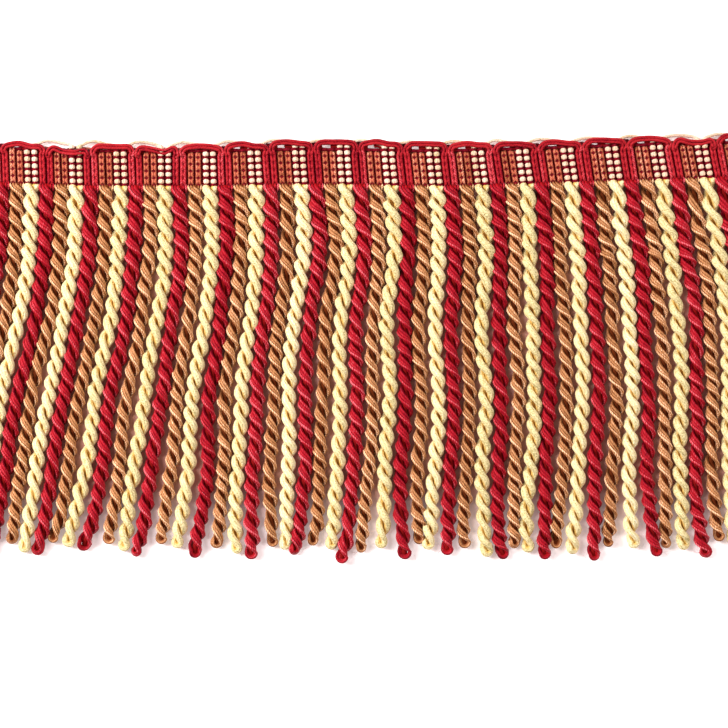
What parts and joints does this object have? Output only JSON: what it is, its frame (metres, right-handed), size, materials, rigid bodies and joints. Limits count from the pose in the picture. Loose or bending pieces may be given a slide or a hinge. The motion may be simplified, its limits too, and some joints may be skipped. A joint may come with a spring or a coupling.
{
  "type": "bullion fringe trim",
  "caption": "Cut length of bullion fringe lying flat: a narrow woven heading with twisted crimson, bronze and cream cords hanging side by side from it.",
  "frame": {"origin": "centre of the heading's flat back face, half way along the length and half way up the warp band", "axes": "+X along the heading, +Y up across the heading away from the cords, +Z out of the back towards the viewer"},
  "size_m": [0.3078, 0.1551, 0.0049],
  "materials": {
    "warp": "fine matt thread",
    "crimson": "satin rayon yarn",
    "bronze": "satin rayon yarn",
    "cream": "soft cotton yarn"
  },
  "bodies": {
    "root": {"warp_band": "warp", "crimson_weft": "crimson", "bronze_weft": "bronze", "cream_weft": "cream"}
  },
  "joints": []
}
